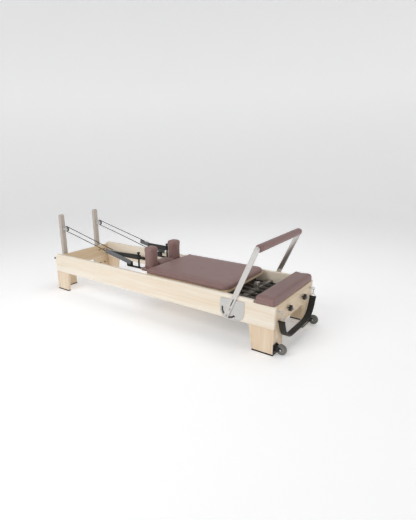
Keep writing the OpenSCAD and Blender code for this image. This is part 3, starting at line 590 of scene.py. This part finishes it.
# The pressed grain is about 1 mm; it is drawn at 2.5 mm so that it shows.
grain = add_node(tree, "TexVoronoi", {"Vector": place, "Scale": 400.0}, feature="SMOOTH_F1")
dye = add_node(tree, "TexNoise", {"Vector": place, "Scale": 14.0, "Detail": 4.0})
tone = add_node(tree, "Mix", {0: dye.outputs[0], 6: srgb("#93746F"), 7: srgb("#866863")}, data_type="RGBA")
tree.links.new(tone.outputs[2], surface.inputs["Base Color"])
relief = add_node(tree, "Bump", {"Height": grain.outputs[0], "Strength": 0.25, "Distance": 0.0004})
tree.links.new(relief.outputs[0], surface.inputs["Normal"])
thread, tree, surface = start_finish("mauve brown welt", Roughness=0.55)
place = add_node(tree, "TexCoord").outputs["Object"]
dye = add_node(tree, "TexNoise", {"Vector": place, "Scale": 60.0, "Detail": 3.0})
tone = add_node(tree, "Mix", {0: dye.outputs[0], 6: srgb("#8C6D68"), 7: srgb("#7A5D59")}, data_type="RGBA")
tree.links.new(tone.outputs[2], surface.inputs["Base Color"])


def outline(low, high, radii, inset, steps=8):
    """A rounded rectangle in plan, drawn in from the box low to high. radii holds the
    radius of its foot-end corners and that of its head-end corners."""
    foot, head = [max(radius - inset, 0.001) for radius in radii]
    corners = (
        (high[0] - inset - foot, high[1] - inset - foot, foot, 0),
        (low[0] + inset + head, high[1] - inset - head, head, 90),
        (low[0] + inset + head, low[1] + inset + head, head, 180),
        (high[0] - inset - foot, low[1] + inset + foot, foot, 270),
    )
    points = []
    for x, y, radius, start in corners:
        for step in range(steps + 1):
            turn = math.radians(start + 90 * step / steps)
            points.append((x + radius * math.cos(turn), y + radius * math.sin(turn)))
    return points


def shell(name, low, high, radii, top_round, base_round):
    """A closed pad shape with rounded plan corners and rounded top and base edges."""
    levels = []
    for step in range(5):
        turn = math.radians(22.5 * step)
        levels.append((low[2] + base_round * (1 - math.cos(turn)), base_round * (1 - math.sin(turn))))
    for step in range(7):
        turn = math.radians(15 * step)
        levels.append((high[2] - top_round * (1 - math.sin(turn)), top_round * (1 - math.cos(turn))))
    points, faces = [], []
    for z, inset in levels:
        points += [(x, y, z) for x, y in outline(low, high, radii, inset)]
    count = len(points) // len(levels)
    for k in range(len(levels) - 1):
        for j in range(count):
            n = (j + 1) % count
            faces.append((k * count + j, k * count + n, (k + 1) * count + n, (k + 1) * count + j))
    faces.append(tuple(reversed(range(count))))
    faces.append(tuple(range(len(points) - count, len(points))))
    return solid(name, points, faces, vinyl)


FILL_FRAMES = 20


def fill(piece, voxel, swell, base):
    """Blows the vinyl out from its foam. Points move by up to swell; the stapled base stays."""
    mesher = piece.modifiers.new("mesh", "REMESH")
    mesher.mode, mesher.voxel_size = "VOXEL", voxel
    even = piece.modifiers.new("even", "SMOOTH")
    even.iterations, even.factor = 4, 0.5
    ready = piece.evaluated_get(bpy.context.evaluated_depsgraph_get())
    meshed = bpy.data.meshes.new_from_object(ready)
    piece.modifiers.clear()
    piece.data = meshed
    stapled = piece.vertex_groups.new(name="stapled")
    rest = np.array([v.co for v in meshed.vertices], float)
    stapled.add([int(k) for k in np.nonzero(rest[:, 2] < base + 0.004)[0]], 1.0, "REPLACE")
    cloth = piece.modifiers.new("fill", "CLOTH")
    cloth.settings.use_pressure = True
    cloth.settings.uniform_pressure_force = 4.0
    cloth.settings.vertex_group_mass = "stapled"
    cloth.settings.effector_weights.gravity = 0.0
    cloth.point_cache.frame_start, cloth.point_cache.frame_end = 1, FILL_FRAMES
    for moment in range(1, FILL_FRAMES + 1):
        scene.frame_set(moment)
    blown = piece.evaluated_get(bpy.context.evaluated_depsgraph_get()).to_mesh()
    moved = np.array([v.co for v in blown.vertices], float) - rest
    far = np.linalg.norm(moved, axis=1)
    held = rest + moved * np.minimum(1.0, swell / np.maximum(far, 1e-9))[:, None]
    held[:, 2] = np.maximum(held[:, 2], base)
    piece.modifiers.clear()
    piece.vertex_groups.clear()
    meshed.vertices.foreach_set("co", held.astype(np.float32).ravel())
    meshed.update()
    scene.frame_set(1)
    smoother = piece.modifiers.new("settle", "SMOOTH")
    smoother.iterations, smoother.factor = 3, 0.5
    finer = piece.modifiers.new("finer", "SUBSURF")
    finer.levels = finer.render_levels = 1
    ready = piece.evaluated_get(bpy.context.evaluated_depsgraph_get())
    final = bpy.data.meshes.new_from_object(ready)
    piece.modifiers.clear()
    piece.data = final
    final.materials.clear()
    final.materials.append(vinyl)
    final.shade_smooth()


def circle(radius, sides):
    """A round section for sweep."""
    turns = [2 * math.pi * k / sides for k in range(sides)]
    return [(radius * math.cos(turn), radius * math.sin(turn)) for turn in turns]


def welt(name, pad, low, high, radii, height, body, radius=0.0013):
    """The sewn welt round a pad's side, laid on the blown vinyl at one height."""
    work = bmesh.new()
    work.from_mesh(pad.data)
    tree = BVHTree.FromBMesh(work)
    work.free()
    middle = Vector(((low[0] + high[0]) / 2, (low[1] + high[1]) / 2, height))
    path = []
    for x, y in outline(low, high, radii, -0.03, steps=12):
        start = Vector((x, y, height))
        nearest = tree.find_nearest(start)[0]
        toward = Vector((nearest.x - x, nearest.y - y, 0)).normalized()
        hit = tree.ray_cast(start, toward)[0]
        path.append(hit if hit is not None else nearest)
    dense = []
    for a, b in zip(path, path[1:] + path[:1]):
        between = max(1, int((b - a).length / 0.02))
        for k in range(between):
            point = a.lerp(b, k / between)
            outward = Vector((point.x - middle.x, point.y - middle.y, 0)).normalized()
            hit = tree.ray_cast(point + outward * 0.05, -outward)[0]
            dense.append(point if hit is None else hit)
    bead = sweep(name, dense, circle(radius, 8), (0, 0, 1), thread, closed=True)
    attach(bead, body)


INSET = 0.0035
# Each pad: its name and body, its box, the radii of its corners, and the rounds at its
# top and base, then the height of its welt.
pads = (
    ("carriage_pad", "carriage", (0.004, -0.312, 0.370), (0.812, 0.312, 0.412))
    + ((0.070, 0.020), 0.019, 0.006, 0.394),
    ("headrest", "headrest", (-0.112, -0.100, 0.370), (0.000, 0.100, 0.412))
    + ((0.014, 0.014), 0.012, 0.004, 0.394),
    ("foot_platform_pad", "frame", (1.042, -0.350, 0.354), (1.200, 0.350, 0.410))
    + ((0.024, 0.024), 0.017, 0.005, 0.385),
)
for name, body, low, high, radii, top_round, base_round, seam in pads:
    small_low = (low[0] + INSET, low[1] + INSET, low[2])
    small_high = (high[0] - INSET, high[1] - INSET, high[2] - INSET)
    pad = shell(name + "_cover", small_low, small_high, radii, top_round, base_round)
    fill(pad, 0.007 if name == "carriage_pad" else 0.005, INSET + 0.001, low[2])
    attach(pad, body)
    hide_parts(name)
    welt(name + "_welt", pad, small_low, small_high, radii, seam, body)

# Shoulder board cover. The deck narrows ahead of the pad, and the same vinyl is pulled
# tight over that part and stapled below, so that the blocks and the headrest sit on it.
NECK_LOW, NECK_HIGH, NECK_CORNERS = (-0.1285, -0.2155, 0.3475), (0.0035, 0.2155, 0.3702), (0.003, 0.006)
neck = shell("shoulder_board_cover", NECK_LOW, NECK_HIGH, NECK_CORNERS, 0.003, 0.002)
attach(neck, "carriage")

# Shoulder blocks. Upright foam blocks in the same vinyl with rounded tops, each on two
# steel pegs that drop into the deck beside the headrest, so that it lifts out.
BLOCK_X0, BLOCK_X1, BLOCK_Y0, BLOCK_Y1 = -0.100, -0.011, 0.108, 0.205
BLOCK_Z0, BLOCK_Z1 = 0.370, 0.562
PEG_X, PEG_YS, PEG_LOW, PEG_R, PEG_EDGE = -0.0555, (0.132, 0.181), 0.354, 0.0078, 0.0015
PEG_LENGTH = BLOCK_Z0 - PEG_LOW + 0.01
peg_profile = [(0, 0), (0, PEG_R - PEG_EDGE), (PEG_EDGE, PEG_R), (PEG_LENGTH, PEG_R), (PEG_LENGTH, 0)]
for side, sign in SIDES.items():
    body = side + "_shoulder_block"
    ys = sorted((sign * BLOCK_Y0, sign * BLOCK_Y1))
    low, high = (BLOCK_X0, ys[0], BLOCK_Z0 + 0.0005), (BLOCK_X1, ys[1], BLOCK_Z1 + 0.002)
    block = shell(body + "_cover", low, high, (0.016, 0.016), 0.026, 0.005)
    fill(block, 0.005, 0.004, BLOCK_Z0 + 0.0005)
    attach(block, body)
    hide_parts(body)
    for number, y in enumerate(PEG_YS):
        peg = turned(
            f"{body}_peg_{number + 1}",
            peg_profile,
            (PEG_X, sign * y, PEG_LOW),
            (0, 0, 1),
            steel_z,
            steps=24,
        )
        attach(peg, body)

# Footbar grip. A foam sleeve in the same vinyl, sewn into a tube and pulled over the
# steel bar, gathered at both ends under a stitched hem.
GRIP_X, GRIP_Z, GRIP_R, GRIP_HALF, TUBE_R = 1.0612, 0.7315, 0.028, 0.340, 0.0164
grip_profile = [(-GRIP_HALF, TUBE_R)]
for step in range(7):
    turn = math.radians(15 * step)
    radius = GRIP_R - 0.0095 + 0.009 * math.sin(turn)
    grip_profile.append((-GRIP_HALF + 0.009 * (1 - math.cos(turn)), radius))
grip_profile += [(-GRIP_HALF + 0.016, GRIP_R - 0.0016), (-GRIP_HALF + 0.019, GRIP_R - 0.0002)]
for step in range(-14, 15):
    along = 0.31 * step / 14
    grip_profile.append((along, GRIP_R - 0.0002 + 0.0004 * math.cos(step * 1.9)))
grip_profile += [(-distance, radius) for distance, radius in reversed(grip_profile[:10])]
grip = turned("footbar_grip_sleeve", grip_profile, (GRIP_X, 0, GRIP_Z), (0, 1, 0), vinyl, steps=48)
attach(grip, "footbar")
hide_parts("footbar_grip")
seam_path = [(GRIP_X, y, GRIP_Z - GRIP_R) for y in (-0.318, -0.15, 0.0, 0.15, 0.318)]
seam = sweep("footbar_grip_seam", seam_path, circle(0.0012, 8), (1, 0, 0), thread)
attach(seam, "footbar")

# Springs. Five long coils of 2.4 mm wire, with a hook drawn out at each end: one end
# hangs in the anchor under the carriage and the other on the spring bar.
SPRING_YS, SPRING_Z, COIL_R, WIRE_R = (-0.200, -0.120, -0.040, 0.040, 0.120), 0.326, 0.0096, 0.0012
COIL_X0, COIL_X1, HOOK_X0, HOOK_X1, PITCH_OF_COIL = 0.392, 0.992, 0.376, 1.018, 0.005
# Painted shade: the springs' steel is a darker copy of the brushed steel, for the shade under the carriage.
shaded_spring_steel = brushed("drawn spring steel, painted darker as shade", "Y", "#8C8A84", "#605E59")
for number, y in enumerate(SPRING_YS):
    path = [(HOOK_X0, y, SPRING_Z), (COIL_X0 - 0.004, y, SPRING_Z)]
    turns = (COIL_X1 - COIL_X0) / PITCH_OF_COIL
    steps = int(turns * 9)
    for k in range(steps + 1):
        turn = 2 * math.pi * turns * k / steps
        x = COIL_X0 + (COIL_X1 - COIL_X0) * k / steps
        path.append((x, y + COIL_R * math.sin(turn), SPRING_Z + COIL_R * math.cos(turn)))
    path += [(COIL_X1 + 0.004, y, SPRING_Z), (HOOK_X1, y, SPRING_Z)]
    across = [(0, 1, 0)] * 2 + [(1, 0, 0)] * (steps + 1) + [(0, 1, 0)] * 2
    spring = sweep(f"spring_{number + 1}", path, circle(WIRE_R, 6), across, shaded_spring_steel)
    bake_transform(spring)
    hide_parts("springs")

# Ropes. Black braided polyester rope, 7 mm thick. Each runs from the carriage's cleat
# up to its pulley, round it, and back to a snap hook.
braid, tree, surface = start_finish("black braided polyester rope", Roughness=0.75, Sheen_Weight=0.05)
chart = add_node(tree, "UVMap", uv_map="length_and_turn").outputs[0]
# Strands of 1.8 mm cross at a slant. They are drawn 3 mm wide so that they show.
SLANT, STRAND_SCALE = (0, 0, 0.7), (330.0, 330.0, 1.0)
leaning = add_node(tree, "Mapping", {"Vector": chart, "Rotation": SLANT, "Scale": STRAND_SCALE}).outputs[0]
strands = add_node(tree, "TexWave", {"Vector": leaning, "Scale": 0.3, "Distortion": 1.2})
tone = add_node(tree, "Mix", {0: strands.outputs[1], 6: srgb("#0C0C0C"), 7: srgb("#1F1E1D")}, data_type="RGBA")
tree.links.new(tone.outputs[2], surface.inputs["Base Color"])
relief = add_node(tree, "Bump", {"Height": strands.outputs[1], "Strength": 0.7, "Distance": 0.0008})
tree.links.new(relief.outputs[0], surface.inputs["Normal"])
ROPE_R = 0.0035
CLEAT_END, HOOK_END, SAG = Vector((-0.302, 0.206, 0.384)), Vector((-0.482, 0.217, 0.484)), 0.006
WRAP_R, TOP_OF_WRAP = 0.026, 3
wrap = []
for step in range(7):
    turn = math.radians(254 - 29.5 * step)
    x, z = SHEAVE_X + WRAP_R * math.cos(turn), SHEAVE_Z + WRAP_R * math.sin(turn)
    wrap.append(Vector((x, SHEAVE_Y, z)))
lower_line = []
for step in range(7):
    t = step / 7
    lower_line.append(CLEAT_END.lerp(wrap[0], t) + Vector((0, 0, 4 * SAG * step / 7 * (1 - t))))
upper_line = [wrap[-1].lerp(HOOK_END, step / 6) for step in range(1, 7)]


def smooth_route(points, between):
    """More points along a curve through the points given."""
    points = [Vector(p) for p in points]
    fine = []
    for k in range(len(points) - 1):
        a, b = points[k], points[k + 1]
        before = points[k - 1] if k else a - (b - a)
        after = points[k + 2] if k + 2 < len(points) else b + (b - a)
        for step in range(between):
            t = step / between
            leave, arrive = (b - before) / 2, (after - a) / 2
            fine.append(
                a * (2 * t**3 - 3 * t**2 + 1)
                + leave * (t**3 - 2 * t**2 + t)
                + b * (3 * t**2 - 2 * t**3)
                + arrive * (t**3 - t**2)
            )
    return fine + [points[-1]]


for side, sign in SIDES.items():
    runs = (
        ("lower", lower_line + wrap[: TOP_OF_WRAP + 1], "carriage", (-1.150, 0, 0), (-0.302, 0, 0)),
        ("upper", wrap[TOP_OF_WRAP:] + upper_line, side + "_snap_hook", (-1.144, 0, 0), (-0.482, 0, 0)),
    )
    for run, line, body, start, end in runs:
        points = [(point.x, sign * point.y, point.z) for point in line]
        route = smooth_route(points, 8)
        rope = sweep(f"{side}_rope_{run}_run", route, circle(ROPE_R, 10), (0, 1, 0), braid)
        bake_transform(rope)
        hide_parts(side + "_rope")

# Snap hooks. Cast and plated hooks with a swivel eye for the rope and a spring gate.
HOOK_PLACE_X0, HOOK_PLACE_X1, HOOK_Y, HOOK_Z = -0.480, -0.424, 0.217, 0.481
BOW_X0, BOW_X1, BOW_HALF, BOW_WIRE = HOOK_PLACE_X0 + 0.018, HOOK_PLACE_X1 - 0.002, 0.0052, 0.0018
for side, sign in SIDES.items():
    body = side + "_snap_hook"
    y = sign * HOOK_Y
    swivel = turned(
        body + "_swivel",
        [(0, 0), (0, 0.0045), (0.002, 0.006), (0.012, 0.006), (0.014, 0.0045), (0.018, 0.0035), (0.018, 0)],
        (HOOK_PLACE_X0, y, HOOK_Z),
        (1, 0, 0),
        steel_x,
        steps=24,
    )
    bow = []
    for middle, start in ((BOW_X0 + BOW_HALF, math.pi / 2), (BOW_X1 - BOW_HALF, -math.pi / 2)):
        for k in range(12):
            turn = start + math.pi * k / 11
            bow.append((middle + BOW_HALF * math.cos(turn), y, HOOK_Z + BOW_HALF * math.sin(turn)))
    ring = sweep(body + "_bow", bow, circle(BOW_WIRE, 10), (0, 1, 0), steel_x, closed=True)
    for piece in (swivel, ring):
        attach(piece, body)
        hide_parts(body)

# Double loops. A padded black hand loop lies from the snap hook over the strap peg, and
# a flat grey foot loop is sewn beside it. Both are folded from woven nylon webbing.


def webbing(name, dark, pale):
    """Woven nylon webbing, with ribs across it and a sheen along them."""
    material, tree, surface = start_finish(name, Roughness=0.6, Sheen_Weight=0.25, Sheen_Roughness=0.35)
    chart = add_node(tree, "UVMap", uv_map="length_and_turn").outputs[0]
    # Ribs of 1.2 mm. They are drawn 2.5 mm wide so that they show.
    ribs = add_node(tree, "Mapping", {"Vector": chart, "Scale": (400.0, 900.0, 1.0)}).outputs[0]
    weave = add_node(tree, "TexWave", {"Vector": ribs, "Scale": 0.32, "Distortion": 0.5, "Detail": 1.0})
    tone = add_node(tree, "Mix", {0: weave.outputs[1], 6: srgb(dark), 7: srgb(pale)}, data_type="RGBA")
    tree.links.new(tone.outputs[2], surface.inputs["Base Color"])
    relief = add_node(tree, "Bump", {"Height": weave.outputs[1], "Strength": 0.5, "Distance": 0.0006})
    tree.links.new(relief.outputs[0], surface.inputs["Normal"])
    return material


black_webbing = webbing("black woven nylon webbing", "#131412", "#2B2C28")
grey_webbing = webbing("grey woven nylon webbing", "#56585A", "#7C7E80")


def flat_section(width, thick):
    """A flat strap's section, its long edges rounded. The first direction is its width."""
    half, edge = width / 2, thick / 2
    points = []
    for centre, start in ((half - edge, -90), (-half + edge, 90)):
        for k in range(5):
            turn = math.radians(start + 45 * k)
            points.append((centre + edge * math.cos(turn), edge * math.sin(turn)))
    return points


LOOP_PEG_X, LOOP_PEG_Y, LOOP_HOOK_X, LOOP_HOOK_Y = -0.172, 0.195, -0.426, 0.2145
LOOP_Z, LOOP_PEG_R, LOOP_HOOK_R = 0.455, 0.0190, 0.0045
FOOT_LOOP = ((-0.558, 0.470), (-0.500, 0.459), (-0.440, 0.448))
FOOT_LOOP += ((-0.380, 0.436), (-0.320, 0.423), (-0.237, 0.405))
FOOT_LOOP_Y, HAND_WIDTH, HAND_THICK, FOOT_WIDTH, FOOT_THICK = 0.2340, 0.034, 0.0034, 0.043, 0.0052
for side, sign in SIDES.items():
    path = []
    for k in range(13):
        turn = math.radians(-90 + 180 * k / 12)
        y = LOOP_PEG_Y + LOOP_PEG_R * math.sin(turn)
        path.append((LOOP_PEG_X + LOOP_PEG_R * math.cos(turn), sign * y, LOOP_Z))
    start, end = LOOP_PEG_Y + LOOP_PEG_R, LOOP_HOOK_Y + LOOP_HOOK_R
    for k in range(1, 7):
        t = k / 7
        x = LOOP_PEG_X + (LOOP_HOOK_X - LOOP_PEG_X) * t
        path.append((x, sign * (start + (end - start) * t), LOOP_Z))
    for k in range(7):
        turn = math.radians(90 + 180 * k / 6)
        y = LOOP_HOOK_Y + LOOP_HOOK_R * math.sin(turn)
        path.append((LOOP_HOOK_X + LOOP_HOOK_R * math.cos(turn), sign * y, LOOP_Z))
    start, end = LOOP_HOOK_Y - LOOP_HOOK_R, LOOP_PEG_Y - LOOP_PEG_R
    for k in range(1, 7):
        t = k / 7
        x = LOOP_HOOK_X + (LOOP_PEG_X - LOOP_HOOK_X) * t
        path.append((x, sign * (start + (end - start) * t), LOOP_Z))
    band = flat_section(HAND_WIDTH, HAND_THICK)
    hand = sweep(side + "_hand_loop", path, band, (0, 0, 1), black_webbing, closed=True)
    foot_path = smooth_route([(x, sign * FOOT_LOOP_Y, z) for x, z in FOOT_LOOP], 5)
    band = flat_section(FOOT_WIDTH, FOOT_THICK)
    foot = sweep(side + "_foot_loop", foot_path, band, (0, 0, 1), grey_webbing)
    for piece in (hand, foot):
        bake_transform(piece)
        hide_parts(side + "_double_loop")

# Foot strap. A wide band of doubled black webbing hangs below the foot board. Each end is
# folded over the bar of a steel triangle, which hangs from an eye by a long wire link.
STRAP_EYE_X, STRAP_EYE_Y, STRAP_EYE_Z, EYE_R, WIRE = 1.228, 0.290, 0.308, 0.010, 0.0024
STRAP_LOW, STRAP_RISE, STRAP_WIDTH, STRAP_THICK = 0.090, 0.146, 0.050, 0.0085
strap_path = []
for step in range(61):
    share = -0.995 + 1.99 * step / 60
    strap_path.append((STRAP_EYE_X, STRAP_EYE_Y * share, STRAP_LOW + STRAP_RISE * abs(share) ** 6))
strap = sweep("foot_strap_band", strap_path, flat_section(STRAP_WIDTH, STRAP_THICK), (1, 0, 0), black_webbing)
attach(strap, "foot_strap")
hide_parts("foot_strap")
BAR_Z, APEX_Z, LINK_HALF, FOLD_R, FOLD_EDGE = 0.239, 0.262, 0.0065, 0.0072, 0.001
TRIANGLE_HALF, APEX_HALF = 0.028, 0.006
fold_profile = [(0, 0), (0, FOLD_R - FOLD_EDGE), (0.0012, FOLD_R)]
fold_profile += [(STRAP_WIDTH - distance, radius) for distance, radius in reversed(fold_profile)]
triangle_shape = [(-TRIANGLE_HALF, 0.0), (TRIANGLE_HALF, 0.0), (TRIANGLE_HALF - 0.001, 0.005)]
triangle_shape += [(APEX_HALF, APEX_Z - BAR_Z), (-APEX_HALF, APEX_Z - BAR_Z), (0.001 - TRIANGLE_HALF, 0.005)]
for side, sign in SIDES.items():
    y = sign * STRAP_EYE_Y
    fold = turned(
        side + "_strap_fold",
        fold_profile,
        (STRAP_EYE_X - STRAP_WIDTH / 2, y, BAR_Z),
        (1, 0, 0),
        black_webbing,
        steps=24,
    )
    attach(fold, "foot_strap")
    triangle = [(STRAP_EYE_X + x, y, BAR_Z + z) for x, z in triangle_shape]
    link_top, link_low = STRAP_EYE_Z - EYE_R + 2 * WIRE, APEX_Z - 2 * WIRE
    link = []
    for middle, start in ((link_top - LINK_HALF, 0.0), (link_low + LINK_HALF, math.pi)):
        for k in range(9):
            turn = start + math.pi * k / 8
            z = middle + LINK_HALF * math.sin(turn)
            link.append((STRAP_EYE_X, y + LINK_HALF * math.cos(turn), z))
    for name, path, across in (("triangle", triangle, (0, 1, 0)), ("link", link, (1, 0, 0))):
        wire = sweep(f"{side}_strap_{name}", path, circle(WIRE, 10), across, steel_z, closed=True)
        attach(wire, "foot_strap")
